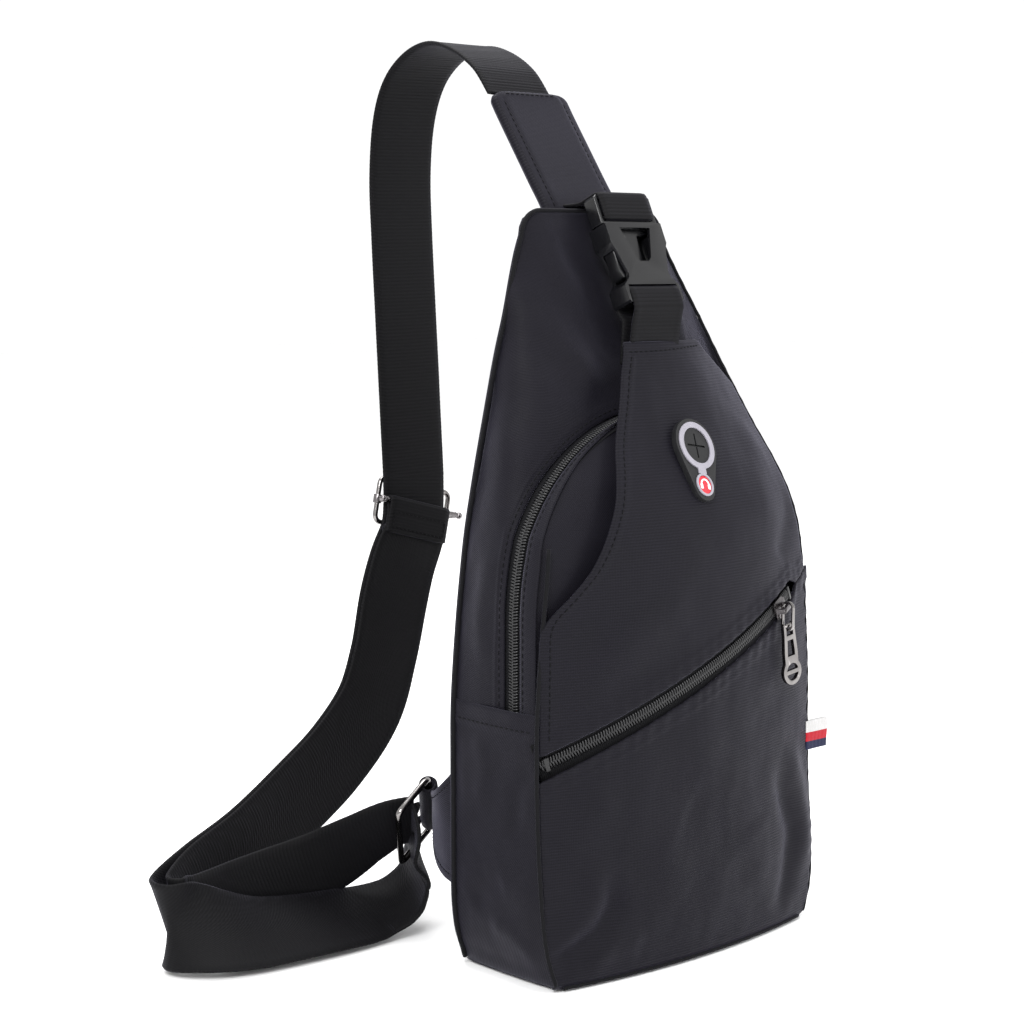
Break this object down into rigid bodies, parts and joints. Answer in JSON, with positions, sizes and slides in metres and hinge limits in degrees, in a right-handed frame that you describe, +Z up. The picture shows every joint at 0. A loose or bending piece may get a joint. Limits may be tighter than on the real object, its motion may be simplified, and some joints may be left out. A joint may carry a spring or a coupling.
{
  "type": "sling bag",
  "caption": "Wedge-shaped single-strap sling bag with an arched main zip, a diagonal front pocket, an earphone port, a side release buckle and an adjustable webbing strap.",
  "frame": {"origin": "centre of the base panel's lower face, on the surface the bag stands on", "axes": "+X to the right of someone looking at the front, -Y out of the front, +Z up towards the strap"},
  "size_m": [0.2871, 0.2116, 0.4086],
  "materials": {
    "shell_fabric": "twill nylon, fine diagonal weave",
    "front_fabric": "ribbed nylon, fine crosswise rib",
    "lining": "thin plain lining",
    "foam": "soft foam sheet",
    "binding": "piping and binding tape",
    "webbing": "ribbed polyester webbing",
    "zip_tape": "woven zip tape",
    "zip_teeth": "coil teeth",
    "dark_metal": "gunmetal plating",
    "bright_metal": "polished gunmetal plating",
    "buckle_plastic": "satin moulded acetal",
    "port_rubber": "soft moulded rubber",
    "port_grey": "grey raised line",
    "port_red": "red disc",
    "port_white": "white raised pictogram",
    "label_ribbon": "striped ribbon"
  },
  "bodies": {
    "bag": {"back_panel": "shell_fabric", "back_foam": "foam", "base_panel": "shell_fabric", "side_wall_left": "shell_fabric", "gusset_hem": "binding", "side_wall_right": "shell_fabric", "front_lower": "front_fabric", "front_upper": "front_fabric", "pouch_front": "shell_fabric", "pocket_back": "lining", "gusset_front": "shell_fabric", "gusset_right": "shell_fabric", "shell_left": "shell_fabric", "shell_top": "shell_fabric", "piping_front": "binding", "piping_back": "binding", "main_tape_front": "zip_tape", "main_tape_rear": "zip_tape", "main_teeth_front": "zip_teeth", "main_teeth_rear": "zip_teeth", "main_stop": "dark_metal", "front_tape_upper": "zip_tape", "front_tape_lower": "zip_tape", "front_teeth_upper": "zip_teeth", "front_teeth_lower": "zip_teeth", "front_stop_left": "dark_metal", "front_stop_right": "dark_metal", "port_plate": "port_rubber", "port_loop": "port_grey", "port_badge": "port_red", "port_symbol": "port_white", "label": "label_ribbon", "strap_cover": "shell_fabric", "strap_upper": "webbing", "strap_lower": "webbing", "strap_inner": "webbing", "ring_tab": "shell_fabric", "tab_sleeve": "shell_fabric", "buckle_socket": "buckle_plastic", "buckle_web_low": "webbing", "buckle_web_root": "webbing"},
    "front_slider": {"front_slider": "dark_metal"},
    "front_link": {"front_link": "bright_metal"},
    "front_pull": {"front_pull": "bright_metal"},
    "main_slider": {"main_slider": "dark_metal"},
    "main_pull": {"main_pull": "bright_metal"},
    "buckle_plug": {"buckle_plug": "buckle_plastic", "buckle_web_top": "webbing"},
    "arm_left": {"buckle_arm_left": "buckle_plastic"},
    "arm_right": {"buckle_arm_right": "buckle_plastic"},
    "ring": {"ring": "bright_metal"},
    "adjuster": {"adjuster_frame": "bright_metal", "adjuster_bar": "dark_metal", "strap_end": "webbing"}
  },
  "joints": [
    {"name": "front_zip", "type": "hinge", "parent": "bag", "child": "front_slider", "pos_m": [0, 0.00017, 0.00013], "axis": [0.3746, 0, -0.9272], "range_deg": [0, 36]},
    {"name": "front_link_swing", "type": "hinge", "parent": "front_slider", "child": "front_link", "pos_m": [0.05124, -0.04542, 0.1515], "axis": [-0.9694, -0.2453, 0], "range_deg": [0, 110]},
    {"name": "front_pull_swing", "type": "hinge", "parent": "front_link", "child": "front_pull", "pos_m": [0.05124, -0.04542, 0.1435], "axis": [-0.9903, 0, -0.1392], "range_deg": [0, 75]},
    {"name": "main_zip", "type": "hinge", "parent": "bag", "child": "main_slider", "pos_m": [0, -0.011, 0.1525], "axis": [0, -1, 0], "range_deg": [0, 70]},
    {"name": "main_pull_swing", "type": "hinge", "parent": "main_slider", "child": "main_pull", "pos_m": [0.01198, -0.011, 0.24472], "axis": [0, -1, 0], "range_deg": [-8, 1.5]},
    {"name": "buckle_release", "type": "slide", "parent": "bag", "child": "buckle_plug", "axis": [0, 0.4099, 0.9121], "range_m": [0, 0.028]},
    {"name": "arm_left_squeeze", "type": "hinge", "parent": "buckle_plug", "child": "arm_left", "pos_m": [-0.0101, 0.00754, 0.31616], "axis": [0, -0.9121, 0.4099], "range_deg": [0, 7], "stiffness_Nm_per_rad": 0.2},
    {"name": "arm_right_squeeze", "type": "hinge", "parent": "buckle_plug", "child": "arm_right", "pos_m": [0.0131, 0.00754, 0.31616], "axis": [0, 0.9121, -0.4099], "range_deg": [0, 7], "stiffness_Nm_per_rad": 0.2},
    {"name": "ring_swing", "type": "hinge", "parent": "bag", "child": "ring", "pos_m": [-0.05868, 0.07445, 0.05872], "axis": [0.4834, 0.5193, -0.7047], "range_deg": [-4, 11]},
    {"name": "adjuster_slide", "type": "slide", "parent": "bag", "child": "adjuster", "axis": [0.008, 0.0663, 0.9978], "range_m": [0, 0.09]}
  ]
}
